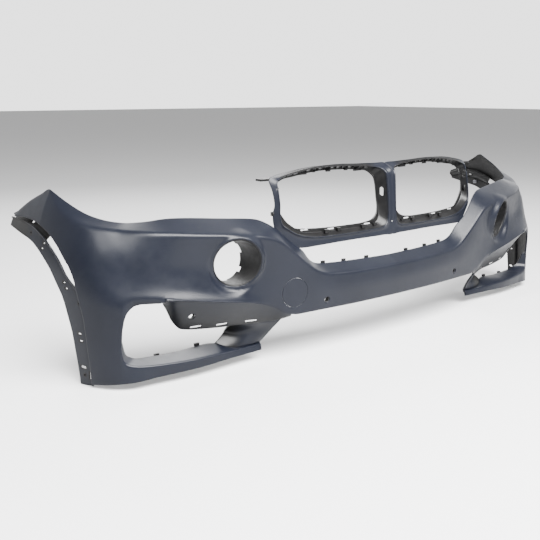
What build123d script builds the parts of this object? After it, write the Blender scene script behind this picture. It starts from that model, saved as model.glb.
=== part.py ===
from build123d import *
import os
from math import atan2, cos, degrees, hypot, radians, sin

os.makedirs("parts", exist_ok=True)

# The car's front faces -Y, +X is the car's left, +Z is up, and X = 0 is the mirror plane.
# The cover is drawn with its zero level with the inner parking sensors, in the plane of their front
# faces. When a piece is saved, it moves so that the row's origin is the middle of the centre hole.

# ---------------------------------------------------------------- driving dimensions (mm)
WALL = 3.0            # moulded skin
THIN = 2.0            # brackets and ducts
SEAM = 0.4            # gap between neighbouring sections
LAP = WALL + SEAM     # a wall that meets another at a crease stops this far short of it
BEAM_END = 335        # where the centre beam hands over to the side bodies, along the skin
CORNER_START = 866    # where the body hands over to the corner section, along the skin
WING_START = 1008     # where the corner hands over to the wing, along the skin
WING_END = 1290       # rearmost edge of the wing, along the skin

FOG_U, FOG_Z = 560, 137          # centre of the fog-lamp hole
FOG_R = 60                       # clear bore of the fog-lamp duct, which points straight ahead
FOG_YAW, FOG_PITCH = 20, 10      # the duct's rim is cut to look outward and slightly down
FOG_DEPTH = 62

SENSOR_R = 9                     # parking-sensor hole
INNER_SENSOR_X = 278
CENTRE_HOLE_R, CENTRE_HOLE_Z = 3.5, 188

TOW_X, TOW_Z, TOW_R = -387, 36, 41   # tow-eye opening, on one side only
TOW_GAP = 1.0
TOW_PIN_R = 2.0

GRILLE_OUT, GRILLE_LOW = 392, 191    # outer edge and lower edge of the pair of grille openings
BAR_HEIGHT = 15                      # upper grille bar

# ---------------------------------------------------------------- feature lines of the right half
# The plan of the skin at sensor height, from the centre line round the corner to the wheel arch.
PLAN = [
    (0, -12), (150, -9), (278, 0), (420, 12), (557, 29), (680, 50), (770, 73),
    (835, 105), (882, 155), (910, 220), (928, 300), (940, 400), (948, 500), (952, 600),
]
# Each line below is a list of (distance along the skin, height, relief in front of the plan curve).
SILL = [
    (0, -25, 0), (370, -25, 0), (412, -18, 0), (450, 4, 1), (499, 23, 2), (615, 45, 4), (722, 63, 6),
    (818, 70, 10), (866, 62, 12),
]
HOLLOW = [
    (0, 20, 4), (300, 30, 3), (421, 85, 0), (499, 112, -4), (560, 125, -9), (660, 140, -12),
    (760, 148, -20), (866, 150, -22),
]
CREASE = [
    (0, 66, 0), (150, 67, 0), (269, 73, 0), (304, 84, 0), (335, 102, 0), (372, 132, 1),
    (421, 172, 2), (447, 188, 2), (528, 205, 4), (661, 217, -6), (782, 227, -30), (866, 231, -52),
    (940, 237, -34), (985, 245, -24), (1060, 265, -24), (1140, 305, -34),
]
REAR = [
    (0, 86, -45), (150, 89, -45), (258, 93, -45), (290, 98, -44), (312, 112, -42), (335, 140, -38),
    (364, 158, -34), (403, 190, -38), (428, 212, -44), (480, 236, -56), (560, 243, -66),
    (716, 253, -76), (790, 247, -86), (866, 244, -94), (931, 249, -77), (997, 262, -60),
    (1065, 287, -46), (1140, 317, -38),
]
BOTTOM = [
    (458, -127, -58), (560, -127, -40), (660, -130, -22), (776, -132, -6), (848, -136, 14),
    (920, -145, 16), (985, -152, 16), (1010, -153, 16),
]
LIP_FRONT = [
    (458, -116, -60), (560, -112, -42), (660, -106, -22), (776, -101, -6), (866, -86, 12),
]
LIP_REAR = [
    (458, -112, -68), (525, -112, -62), (560, -105, -68), (590, -94, -82), (613, -92, -86),
    (713, -98, -78), (813, -104, -66), (866, -106, -40),
]
RECESS = [
    (396, -29, -4), (424, -34, -12), (467, -41, -30), (560, -40, -45), (651, -35, -45),
    (704, -28, -45), (728, -6, -45), (745, 28, -40), (757, 48, -30),
]
# The lines of the wing are lists of (distance along the skin, height) on the wing's own relief.
ARCH = [
    (1317, 208), (1251, 196), (1191, 185), (1147, 166), (1111, 142), (1088, 123), (1067, 98),
    (1039, 59), (1019, 5), (1009, -27), (1001, -72), (993, -118), (989, -157),
]
FLANGE = [
    (1310, 229), (1250, 228), (1190, 222), (1130, 203), (1090, 181), (1050, 152), (1020, 118),
    (976, 76), (962, 18), (957, -27), (953, -70), (949, -114), (947, -154),
]
WING_LOW = [(1008, 146), (1016, 154), (1054, 189), (1106, 219), (1170, 237), (1228, 241), (1290, 236)]
WING_HIGH = [
    (1008, 250), (1060, 265), (1103, 283), (1140, 303), (1152, 314), (1178, 303), (1219, 284),
    (1262, 259), (1290, 240),
]
CORNER_END = [
    (-155, 946), (-114, 948), (-70, 952), (-27, 956), (18, 961), (60, 972), (110, 986),
    (125, 993), (146, 1005), (260, 1005),
]
PILLAR_TOP = [(425, -36, -13), (450, -40, -24), (490, -41, -36), (530, -42, -50), (548, -44, -62)]
PILLAR_MID = [(440, -72, -42), (470, -76, -52), (505, -78, -66), (535, -76, -78), (560, -70, -88)]
PILLAR_LOW = [(458, -106, -66), (490, -107, -60), (525, -107, -60), (560, -100, -68), (588, -90, -82)]


# ---------------------------------------------------------------- shared geometry
def smooth(knots):
    """A cubic through (x, y) knots that never overshoots them, as a function of x."""
    xs = [k[0] for k in knots]
    ys = [k[1] for k in knots]
    slopes = [(ys[i + 1] - ys[i]) / (xs[i + 1] - xs[i]) for i in range(len(xs) - 1)]
    tangents = [slopes[0]]
    for before, after in zip(slopes, slopes[1:]):
        tangents.append(2 * before * after / (before + after) if before * after > 0 else 0.0)
    tangents.append(slopes[-1])

    def value(x):
        i = max(0, min(len(slopes) - 1, sum(1 for k in xs[1:-1] if x >= k)))
        h = xs[i + 1] - xs[i]
        t = (x - xs[i]) / h
        return (
            (1 + 2 * t) * (1 - t) ** 2 * ys[i]
            + t * (1 - t) ** 2 * h * tangents[i]
            + t * t * (3 - 2 * t) * ys[i + 1]
            + t * t * (t - 1) * h * tangents[i + 1]
        )

    return value


ARC = [0.0]
for (xa, ya), (xb, yb) in zip(PLAN, PLAN[1:]):
    ARC.append(ARC[-1] + hypot(xb - xa, yb - ya))
plan_x = smooth([(s, p[0]) for s, p in zip(ARC, PLAN)])
plan_y = smooth([(s, p[1]) for s, p in zip(ARC, PLAN)])


def skin(u, z, relief=0.0):
    """The point at distance u along the skin, height z, standing forward of the plan curve."""
    side = -1 if u < 0 else 1
    a = abs(u)
    dx = plan_x(a + 2) - plan_x(max(a - 2, 0))
    dy = plan_y(a + 2) - plan_y(max(a - 2, 0))
    n = hypot(dx, dy)
    return Vector(side * (plan_x(a) + relief * dy / n), plan_y(a) - relief * dx / n, z)


def line(knots):
    """A feature line as a function of distance along the skin, giving (height, relief)."""
    height = smooth([(k[0], k[1]) for k in knots])
    relief = smooth([(k[0], k[2]) for k in knots])
    return lambda u: (height(u), relief(u))


sill, hollow, crease, rear = line(SILL), line(HOLLOW), line(CREASE), line(REAR)
bottom, lip_front, lip_rear, recess = line(BOTTOM), line(LIP_FRONT), line(LIP_REAR), line(RECESS)


def steps(start, end, count):
    return [start + (end - start) * i / (count - 1) for i in range(count)]


def between(a, b, t):
    return tuple(p + (q - p) * t for p, q in zip(a, b))


def across(rows, t):
    """A point at t from 0 to 1 on the smooth curve through the given (u, z, relief) rows."""
    spots = steps(0, 1, len(rows))
    return tuple(smooth(list(zip(spots, [r[k] for r in rows])))(t) for k in range(3))


def sheet(lines, start, end, count=14, levels=6, inset=0.0):
    """A smooth face over the span from start to end, through feature lines from low to high.

    The first line is approached no nearer than the inset, so that two walls can meet at a crease.
    """
    grid = []
    for u in steps(start, end, count):
        rows = [(u, *one(abs(u))) for one in lines]
        first = inset / (skin(*rows[-1]) - skin(*rows[0])).length
        grid.append([skin(*across(rows, t)) for t in steps(first, 1, levels)])
    return Face.make_surface_from_array_of_points(grid)


def ribbon(first, last, levels=4):
    """A smooth face between two rows of (u, z, relief) points of equal length."""
    grid = []
    for a, b in zip(first, last):
        grid.append([skin(*between(a, b, t)) for t in steps(0, 1, levels)])
    return Face.make_surface_from_array_of_points(grid)


def facing(point, yaw=0.0, pitch=0.0):
    """A plane at the point whose normal looks out of the front, turned outward and down."""
    a, b = radians(yaw), radians(pitch)
    normal = Vector(sin(a) * cos(b), -cos(a) * cos(b), -sin(b))
    across_x = Vector(cos(a), sin(a), 0)
    return Plane(origin=point, x_dir=across_x, z_dir=normal)


def outward(u):
    """Bearing in degrees of the skin's outward normal, from straight ahead towards +X."""
    a, b = skin(u + 3, 0), skin(u - 3, 0)
    return degrees(atan2(a.Y - b.Y, a.X - b.X))


def front(x, z):
    """Depth of the grille surround's front face, leaning back and bowed in plan."""
    return 18 + 0.00018 * x * x + 0.1 * (z - 200)


CENTRE_HOLE = Vector(0, front(0, CENTRE_HOLE_Z) + WALL / 2, CENTRE_HOLE_Z)


def save(part, name):
    """Writes a piece, moved so that the middle of the centre hole is the origin."""
    piece = part.moved(Location(-CENTRE_HOLE))
    piece.label = name
    export_step(piece, f"parts/{name}.step")


def save_pair(part, name):
    """Writes the +X piece and its mirror image."""
    save(part, f"{name}_left")
    with BuildPart() as other:
        add(part.mirror(Plane.YZ))
    save(other.part, f"{name}_right")


# ---------------------------------------------------------------- centre beam and intake shelf
sensor_planes = {
    "left": facing(skin(INNER_SENSOR_X, 0)),
    "right": facing(skin(-INNER_SENSOR_X, 0)),
}
centre_face = sheet([sill, hollow, crease], -BEAM_END, BEAM_END, 24)
with BuildPart() as centre_beam:
    thicken(centre_face, amount=-WALL)
    for plane in sensor_planes.values():
        with BuildSketch(plane.offset(20)):
            Circle(SENSOR_R)
        extrude(amount=-60, mode=Mode.SUBTRACT)
save(centre_beam.part, "centre_beam")

shelf_face = sheet([crease, rear], -BEAM_END + 4, BEAM_END - 4, 24, 4, LAP)
with BuildPart() as intake_shelf:
    thicken(shelf_face, amount=-WALL)
save(intake_shelf.part, "intake_shelf")

NUB_XS = (-255, -179, -87, 87, 179, 255)
CLIP_GAP, CLIP_LIFT = 2.5, 1.5      # the clips stand behind and a little above the shelf's rear edge
with BuildPart() as shelf_clips:
    for x in NUB_XS:
        z, relief = rear(abs(x))
        with Locations(skin(x, z + CLIP_LIFT, relief - CLIP_GAP)):
            Box(12, 6, 8, align=(Align.CENTER, Align.MIN, Align.CENTER))
save(shelf_clips.part, "intake_shelf_clips")

# ---------------------------------------------------------------- side bodies
fog_centre = skin(FOG_U, FOG_Z, -6)
fog_plane = facing(fog_centre)
fog_rim_plane = facing(fog_centre, FOG_YAW, FOG_PITCH).offset(4)
body_face = sheet([sill, hollow, crease], BEAM_END + SEAM, CORNER_START - SEAM, 30)
with BuildPart() as side_body:
    thicken(body_face, amount=-WALL)
    with BuildSketch(fog_plane.offset(60)):
        Circle(FOG_R + THIN + SEAM)
    extrude(amount=-160, mode=Mode.SUBTRACT)
save(side_body.part, "side_body_left")

tow_bearing = -outward(abs(TOW_X))
tow_centre = skin(TOW_X, TOW_Z, 1)
tow_plane = facing(tow_centre, tow_bearing)
with BuildPart() as tow_side_body:
    add(side_body.part.mirror(Plane.YZ))
    with BuildSketch(tow_plane.offset(20)):
        Circle(TOW_R)
    extrude(amount=-40, mode=Mode.SUBTRACT)
save(tow_side_body.part, "side_body_right")

shoulder_face = sheet([crease, rear], BEAM_END + SEAM, CORNER_START - SEAM, 30, 5, LAP)
with BuildPart() as shoulder:
    thicken(shoulder_face, amount=-WALL)
save_pair(shoulder.part, "shoulder")

wing_top_face = sheet([crease, rear], CORNER_START + SEAM, 1136, 16, 5, LAP)
with BuildPart() as wing_top:
    thicken(wing_top_face, amount=-WALL)
save_pair(wing_top.part, "wing_top")

# ---------------------------------------------------------------- corner, wing and arch flange
def wing_relief(u, z):
    """Relief of the corner and wing skin, full low down and tucked in towards the crease."""
    top_z, top_relief = crease(min(u, 1140))
    t = (z - 60) / (top_z - 60)
    if t <= 0:
        return 12
    bend = 1 + 2 * max(0, min(1, (u - CORNER_START) / (WING_START - CORNER_START)))
    return 12 + (top_relief - 12) * min(1.1, t) ** bend


corner_end = smooth(CORNER_END)
grid = []
for t in steps(0, 1, 10):
    row = []
    for s in steps(0, 1, 8):
        guess = -150 + t * 395
        u = CORNER_START + SEAM + s * (corner_end(guess) - CORNER_START - 2 * SEAM)
        low, high = bottom(u)[0], crease(u)[0]
        z = low + t * (high - low)
        row.append(skin(u, z, wing_relief(u, z)))
    grid.append(row)
with BuildPart() as corner:
    thicken(Face.make_surface_from_array_of_points(grid), amount=WALL)
save_pair(corner.part, "corner")

wing_low, wing_high = smooth(WING_LOW), smooth(WING_HIGH)
grid = []
for u in steps(WING_START + 4 * SEAM, WING_END, 20):
    rows = steps(wing_low(u), wing_high(u), 5)
    grid.append([skin(u, z, wing_relief(u, z)) for z in rows])
with BuildPart() as wing:
    thicken(Face.make_surface_from_array_of_points(grid), amount=-WALL)
save_pair(wing.part, "wing")

FLANGE_STEP = 6
arch_rows = [(u, z, wing_relief(u, z) - FLANGE_STEP) for u, z in ARCH]
inner_rows = [(u, z, wing_relief(u, z) - FLANGE_STEP) for u, z in FLANGE]
flange_face = ribbon(arch_rows, inner_rows)
# Fixing holes and slots of the flange as (distance along the skin, height, width, height of the cut).
FLANGE_HOLES = [(1190, 203), (978, 55), (972, -130)]
FLANGE_HOLE_R = 3.2
FLANGE_SLOTS = [
    (1120, 186, 10, 4), (1128, 172, 10, 4), (1030, 100, 9, 4), (1022, 86, 9, 4),
    (983, -24, 12, 5), (979, -42, 12, 5), (976, -110, 18, 8), (955, -129, 5, 20),
]


def side_plane(u, z, outside=30):
    """A plane outside the skin at (u, z) whose normal is the skin's own outward normal."""
    spot = skin(u, z, wing_relief(u, z))
    return facing(spot, outward(u)).offset(outside)


with BuildPart() as arch_flange:
    thicken(flange_face, amount=WALL)
    for u, z in FLANGE_HOLES:
        with BuildSketch(side_plane(u, z)):
            Circle(FLANGE_HOLE_R)
        extrude(amount=-60, mode=Mode.SUBTRACT)
    for u, z, wide, high in FLANGE_SLOTS:
        with BuildSketch(side_plane(u, z)):
            Rectangle(wide, high)
        extrude(amount=-60, mode=Mode.SUBTRACT)
save_pair(arch_flange.part, "arch_flange")

# A moulded bracket ties the flange to the wing behind the upper end of the air slot.
BRACKET_LOW = [(1120, 194), (1150, 206), (1195, 216), (1268, 224)]
BRACKET_HIGH = [(1110, 226), (1145, 238), (1190, 248), (1268, 246)]
BRACKET_DEPTH = 16
bracket_rows = [
    [(u, z, wing_relief(u, z) - BRACKET_DEPTH) for u, z in row] for row in (BRACKET_LOW, BRACKET_HIGH)
]
with BuildPart() as wing_bracket:
    thicken(ribbon(*bracket_rows), amount=-THIN)
    with BuildSketch(side_plane(1205, 231)):
        SlotOverall(16, 9)
    extrude(amount=-60, mode=Mode.SUBTRACT)
save_pair(wing_bracket.part, "wing_bracket")

# ---------------------------------------------------------------- corner vent surround
with BuildPart() as sensor_panel:
    thicken(sheet([sill, recess], 400, 757, 24, 4, LAP), amount=-WALL)
    outer_plane = facing(skin(682, 8, -33), outward(682))
    with BuildSketch(outer_plane.offset(30)):
        Circle(SENSOR_R)
    extrude(amount=-70, mode=Mode.SUBTRACT)
    for u, z in ((665, -28), (590, -31), (502, -33)):
        with BuildSketch(facing(skin(u, z, 0), outward(u))):
            Rectangle(36, 5)
        extrude(amount=-80, mode=Mode.SUBTRACT)
save_pair(sensor_panel.part, "sensor_panel")

pillar_rows = [[skin(*a), skin(*b), skin(*c)] for a, b, c in zip(PILLAR_TOP, PILLAR_MID, PILLAR_LOW)]
with BuildPart() as vent_pillar:
    thicken(Face.make_surface_from_array_of_points(pillar_rows), amount=WALL)
save_pair(vent_pillar.part, "vent_pillar")

with BuildPart() as lower_lip:
    thicken(sheet([bottom, lip_front], 458, CORNER_START - SEAM, 24, 3), amount=-WALL)
save_pair(lower_lip.part, "lower_lip")

with BuildPart() as lip_shelf:
    thicken(sheet([lip_front, lip_rear], 470, CORNER_START - SEAM, 24, 4, LAP), amount=-WALL)
save_pair(lip_shelf.part, "lip_shelf")

with BuildPart() as lip_clips:
    for u in (642, 766):
        z, relief = lip_rear(u)
        with Locations(skin(u, z + CLIP_LIFT, relief - CLIP_GAP)):
            Box(14, 6, 8, align=(Align.CENTER, Align.MIN, Align.CENTER))
save_pair(lip_clips.part, "lip_shelf_clips")

# ---------------------------------------------------------------- fog-lamp ducts
with BuildPart() as fog_duct:
    with BuildSketch(fog_plane.offset(40)):
        Circle(FOG_R + THIN)
        Circle(FOG_R, mode=Mode.SUBTRACT)
    extrude(amount=-FOG_DEPTH - 40)
    split(bisect_by=fog_rim_plane, keep=Keep.BOTTOM)
    for angle in (25, 145, 265):
        ear = fog_plane.offset(-FOG_DEPTH)
        spot = ear.from_local_coords(((FOG_R + 8) * cos(radians(angle)), (FOG_R + 8) * sin(radians(angle)), 0))
        with BuildSketch(Plane(origin=spot, x_dir=ear.x_dir, z_dir=ear.z_dir)):
            Circle(9)
            Circle(2.6, mode=Mode.SUBTRACT)
        extrude(amount=THIN)
    with BuildSketch(fog_plane.offset(8 - FOG_DEPTH)):
        Circle(FOG_R)
    extrude(amount=-16, mode=Mode.SUBTRACT)
save_pair(fog_duct.part, "fog_lamp_duct")

# ---------------------------------------------------------------- grille surround
def front_face(x0, x1, z0, z1, set_back, count=10):
    """A face parallel to the grille surround's front, set back from it, between two heights."""
    grid = []
    for x in steps(x0, x1, count):
        grid.append([Vector(x, front(x, z) + set_back, z) for z in steps(z0, z1, 4)])
    return Face.make_surface_from_array_of_points(grid)


def shelf_strip(x0, x1, z, near, far, count=10):
    """A level face at one height of the grille surround, between two set-backs."""
    grid = []
    for x in steps(x0, x1, count):
        grid.append([Vector(x, front(x, z) + d, z) for d in steps(near, far, 3)])
    return Face.make_surface_from_array_of_points(grid)


PILLAR_HALF, PILLAR_BACK, PILLAR_TOP_Z = 26, 34, 340
BAND_LOW, BEAD = 150, 168
BAND_BACK, CHANNEL_BACK = 5, 24      # set-back of the band's face and of its sunken channel
BAND_END = 326
CLIP_XS = (-316, -221, -84, 84, 221, 316)
with BuildPart() as grille_band:
    thicken(front_face(-BAND_END, BAND_END, BAND_LOW, BEAD + 2, BAND_BACK, 14), amount=-WALL)
    thicken(shelf_strip(-BAND_END, BAND_END, BEAD, BAND_BACK, CHANNEL_BACK + WALL, 14), amount=WALL)
    thicken(front_face(-BAND_END, BAND_END, BEAD, GRILLE_LOW, CHANNEL_BACK, 14), amount=-WALL)
    for x in CLIP_XS[1:-1]:
        with BuildSketch(Plane(origin=(x, -20, GRILLE_LOW - 8), x_dir=(1, 0, 0), z_dir=(0, -1, 0))):
            Rectangle(26, 5)
        extrude(amount=-120, mode=Mode.SUBTRACT)
    with BuildSketch(Plane(origin=(0, -20, 200), x_dir=(1, 0, 0), z_dir=(0, -1, 0))):
        Rectangle(2 * (PILLAR_HALF + 10), 2 * (200 - BEAD) - 4)
    extrude(amount=-120, mode=Mode.SUBTRACT)
save(grille_band.part, "grille_lower_band")

with BuildPart() as band_clips:
    for x in CLIP_XS[1:-1]:
        for shift in (-24, 24):
            spot = (x + shift, front(x, 182) + CHANNEL_BACK - 3, 182)
            with BuildSketch(Plane(origin=spot, x_dir=(1, 0, 0), z_dir=(0, -1, 0))):
                RectangleRounded(14, 12, 2)
            extrude(amount=7)
save(band_clips.part, "grille_band_clips")

# The flank climbs from the end of the band to the foot of the outer stem.
FLANK_IN = [(327, 196), (352, 208), (370, 226), (384, 244), (392, 262)]
FLANK_OUT = [(329, 150), (362, 164), (392, 188), (414, 212), (420, 244)]
flank_grid = []
for inner, outer in zip(FLANK_IN, FLANK_OUT):
    x_in, z_in = inner
    x_out, z_out = outer
    row = []
    for t in steps(0, 1, 4):
        x = x_out + (x_in - x_out) * t
        z = z_out + (z_in - z_out) * t
        row.append(Vector(x, front(x, z) + BAND_BACK + 16 * t, z))
    flank_grid.append(row)
with BuildPart() as grille_flank:
    thicken(Face.make_surface_from_array_of_points(flank_grid), amount=-WALL)
save_pair(grille_flank.part, "grille_flank")

STEM_BACK = 16
STEM_DEPTH = 14
STEM_LOW = 268        # foot of the stem, clear of the top of the flank
with BuildPart() as grille_stem:
    for z in steps(STEM_LOW, 334, 4):
        x = GRILLE_OUT + 8 + 6 * ((z - 244) / 90) ** 2
        with BuildSketch(Plane(origin=(x, front(x, z) + STEM_BACK, z), z_dir=(0, 0, 1))):
            Rectangle(9, STEM_DEPTH)
    loft()
save_pair(grille_stem.part, "grille_stem")

TOP_BACK = 26
BAR_DEPTH = 26
TOP_LINE = [(0, 346), (60, 345), (174, 352), (245, 352), (313, 348), (363, 341), (404, 327)]
top_line = smooth(TOP_LINE)
with BuildPart() as grille_top_bar:
    for x in steps(-404, 404, 17):
        z = top_line(abs(x))
        with BuildSketch(Plane(origin=(x, front(x, z) + TOP_BACK, z), x_dir=(0, 1, 0), z_dir=(1, 0, 0))):
            Rectangle(BAR_DEPTH, BAR_HEIGHT, align=(Align.MIN, Align.MIN))
            with Locations((WALL, 0)):
                Rectangle(
                    BAR_DEPTH - 2 * WALL, BAR_HEIGHT - WALL, align=(Align.MIN, Align.MIN), mode=Mode.SUBTRACT
                )
    loft(ruled=True)
save(grille_top_bar.part, "grille_top_bar")

with BuildPart() as grille_pillar:
    for z in (BEAD + WALL + SEAM, 215, 280, PILLAR_TOP_Z):
        with BuildSketch(Plane(origin=(0, front(0, z), z), z_dir=(0, 0, 1))):
            with BuildLine():
                Polyline(
                    (-PILLAR_HALF - 8, PILLAR_BACK), (-PILLAR_HALF, 6), (-PILLAR_HALF + 6, 0),
                    (PILLAR_HALF - 6, 0), (PILLAR_HALF, 6), (PILLAR_HALF + 8, PILLAR_BACK),
                    (PILLAR_HALF + 5, PILLAR_BACK), (PILLAR_HALF - 3, 7), (PILLAR_HALF - 7, WALL),
                    (-PILLAR_HALF + 7, WALL), (-PILLAR_HALF + 3, 7), (-PILLAR_HALF - 5, PILLAR_BACK),
                    close=True,
                )
            make_face()
    loft(ruled=True)
    for side in (-1, 1):
        with BuildSketch(Plane(origin=(side * 60, 0, 270), z_dir=(side, 0, 0))):
            with Locations((side * (front(0, 270) + 22), 0)):
                Rectangle(8, 40)
        extrude(amount=-40, mode=Mode.SUBTRACT)
    with BuildSketch(Plane(origin=(0, -20, CENTRE_HOLE_Z), x_dir=(1, 0, 0), z_dir=(0, -1, 0))):
        Circle(CENTRE_HOLE_R)
    extrude(amount=-60, mode=Mode.SUBTRACT)
save(grille_pillar.part, "grille_pillar")

with BuildPart() as pillar_cap:
    for y, z, half in ((front(0, 340), 343.2, 24), (front(0, 345) + TOP_BACK - SEAM, 350, 48)):
        with BuildSketch(Plane(origin=(0, y, z), x_dir=(1, 0, 0), z_dir=(0, 1, 0))):
            Rectangle(2 * half, 5)
    loft(ruled=True)
save(pillar_cap.part, "grille_pillar_cap")

TAB_HOLE_R = 3.3
with BuildPart() as end_tab:
    with BuildSketch(Plane(origin=(405, front(404, 330) + TOP_BACK + 4, 332), x_dir=(1, 0, 0), z_dir=(0, 0, 1))):
        RectangleRounded(34, 22, 4, align=(Align.MIN, Align.MIN))
    extrude(amount=WALL)
    with Locations((427, front(404, 330) + TOP_BACK + 15, 332)):
        Cylinder(TAB_HOLE_R, 4 * WALL, mode=Mode.SUBTRACT)
save_pair(end_tab.part, "grille_end_tab")

# ---------------------------------------------------------------- parking-sensor holders
HOLDER_R, HOLDER_LENGTH = 13.5, 12


def sensor_holder(plane):
    with BuildPart() as holder:
        with BuildSketch(plane):
            Circle(HOLDER_R)
        extrude(amount=-HOLDER_LENGTH)
        for side in (-1, 1):
            with BuildSketch(plane.offset(-HOLDER_LENGTH)):
                with Locations((side * (HOLDER_R + 3), 0)):
                    Rectangle(9, 12)
            extrude(amount=THIN)
        with BuildSketch(plane.offset(5)):
            Circle(SENSOR_R)
        extrude(amount=-60, mode=Mode.SUBTRACT)
    return holder.part


save_pair(sensor_holder(facing(skin(INNER_SENSOR_X, 0)).offset(-WALL - 1)), "inner_sensor_holder")
save_pair(sensor_holder(outer_plane.offset(-WALL - 2)), "outer_sensor_holder")

# ---------------------------------------------------------------- spring nuts on the arch flange
NUT_R, NUT_BORE_R, NUT_LENGTH = 6, 2.4, 5
NUT_GAP = 2.5         # the flange is curved, so its flat spring nuts stand clear of it
with BuildPart() as flange_nuts:
    for u, z in FLANGE_HOLES:
        back = side_plane(u, z, -FLANGE_STEP - WALL - NUT_GAP)
        with BuildSketch(back):
            RectangleRounded(16, 14, 2)
            Circle(NUT_BORE_R, mode=Mode.SUBTRACT)
        extrude(amount=-1.2)
        with BuildSketch(back.offset(-1.2)):
            Circle(NUT_R)
            Circle(NUT_BORE_R, mode=Mode.SUBTRACT)
        extrude(amount=-NUT_LENGTH)
save_pair(flange_nuts.part, "flange_spring_nuts")

# ---------------------------------------------------------------- tow-eye cover and its hinge
HINGE_OUT, HINGE_BACK = TOW_R + 8, 10     # pin's place from the cover's centre, outboard and behind
ARM_HALF = 6                             # half the height of the cover's hinge arm
COVER_R = TOW_R - TOW_GAP
COVER_TAPER = 0.53                       # the rim narrows inward so that it clears the skin as it swings
with BuildPart() as tow_cover:
    add(side_body.part.mirror(Plane.YZ))
    with BuildSketch(tow_plane.offset(4)):
        Circle(COVER_R + 4.5 * COVER_TAPER)
    with BuildSketch(tow_plane.offset(-8)):
        Circle(COVER_R - 7.5 * COVER_TAPER)
    loft(mode=Mode.INTERSECT)
    pin_axis = tow_plane.from_local_coords((-HINGE_OUT, 0, -HINGE_BACK))
    level = Plane(origin=pin_axis, x_dir=tow_plane.x_dir, z_dir=(0, 0, 1))
    with BuildSketch(level.offset(-ARM_HALF)):
        with BuildLine():
            Polyline(
                (1.5, 1), (4.2, 5.3), (6.6, 7.4), (12.3, 8), (16.2, 4.4), (16.2, -7.8), (18.8, -7.8),
                (18.8, 5.6), (13.4, 10.7), (5.4, 10), (1.8, 6.7), (-1.5, 1), close=True,
            )
        make_face()
        Circle(4)
        Circle(TOW_PIN_R + 0.06, mode=Mode.SUBTRACT)
    extrude(amount=2 * ARM_HALF)
save(tow_cover.part, "tow_eye_cover")

LUG_GAP = 0.5
with BuildPart() as tow_bracket:
    for side in (-1, 1):
        base = level.offset(side * (ARM_HALF + LUG_GAP))
        with BuildSketch(base):
            Rectangle(8.4, 8.4)
            with Locations((-2, -4.2)):
                Rectangle(14, 1.4)
            Circle(TOW_PIN_R, mode=Mode.SUBTRACT)
        extrude(amount=side * 3)
save(tow_bracket.part, "tow_hinge_bracket")

with BuildPart() as tow_pin:
    with BuildSketch(level.offset(-ARM_HALF - LUG_GAP - 4)):
        Circle(TOW_PIN_R)
    extrude(amount=2 * (ARM_HALF + LUG_GAP + 4))
save(tow_pin.part, "tow_hinge_pin")
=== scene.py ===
from math import atan2, cos, pi, radians, sin

import bpy
import numpy as np
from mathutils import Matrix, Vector


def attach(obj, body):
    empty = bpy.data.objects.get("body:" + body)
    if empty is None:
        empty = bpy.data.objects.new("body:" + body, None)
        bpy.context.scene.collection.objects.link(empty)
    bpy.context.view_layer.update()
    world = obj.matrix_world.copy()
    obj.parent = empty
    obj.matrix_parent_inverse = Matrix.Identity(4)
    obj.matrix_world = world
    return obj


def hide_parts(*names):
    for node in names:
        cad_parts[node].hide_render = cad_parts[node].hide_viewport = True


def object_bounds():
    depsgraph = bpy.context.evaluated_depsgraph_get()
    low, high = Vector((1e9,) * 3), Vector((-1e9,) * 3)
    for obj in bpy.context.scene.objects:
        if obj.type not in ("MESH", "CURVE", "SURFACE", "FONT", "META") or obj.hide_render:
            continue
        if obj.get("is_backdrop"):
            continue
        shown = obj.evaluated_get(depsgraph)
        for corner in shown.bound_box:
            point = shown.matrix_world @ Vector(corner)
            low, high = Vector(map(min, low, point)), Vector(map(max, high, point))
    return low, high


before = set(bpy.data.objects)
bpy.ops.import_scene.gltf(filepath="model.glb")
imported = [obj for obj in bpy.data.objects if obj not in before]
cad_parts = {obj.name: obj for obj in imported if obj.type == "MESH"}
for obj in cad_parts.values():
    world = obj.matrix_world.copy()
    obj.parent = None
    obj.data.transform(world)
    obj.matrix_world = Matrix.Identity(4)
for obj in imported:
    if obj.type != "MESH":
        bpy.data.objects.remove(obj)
CAD_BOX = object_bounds()

# Lengths below are in millimetres, meshes are in metres. A place on the skin is (u, z, relief): the distance
# along the plan curve from the middle of the car, the height, and the distance in front of the plan curve.
MM = 0.001
WALL = 2.8
CORNER_START = 866    # where the body gives way to the corner
WING_START = 1140     # where the crease runs out into the wing
LIP_START = 458
PANEL_START, PANEL_END = 398, 757     # the recessed panel under the sill
SILL_PEAK = 818
VENT_LOW = -37        # where the vent's upper and lower edges meet on the corner
FOG_U, FOG_Z, FOG_R = 560, 137, 62
FOG_YAW, FOG_PITCH = 20, 10                  # the lamp hole's rim looks outward and slightly down
TOW_X, TOW_Z, TOW_R = -387, 36, 41
INNER_SENSOR_X = 278
OUTER_SENSOR = (682, 8, -33)                 # on the recessed panel
CENTRE_HOLE = np.array((0, 18.3, 188.0))     # the row's origin
CENTRE_HOLE_R = 3.5
SENSOR_R = 9

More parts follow.
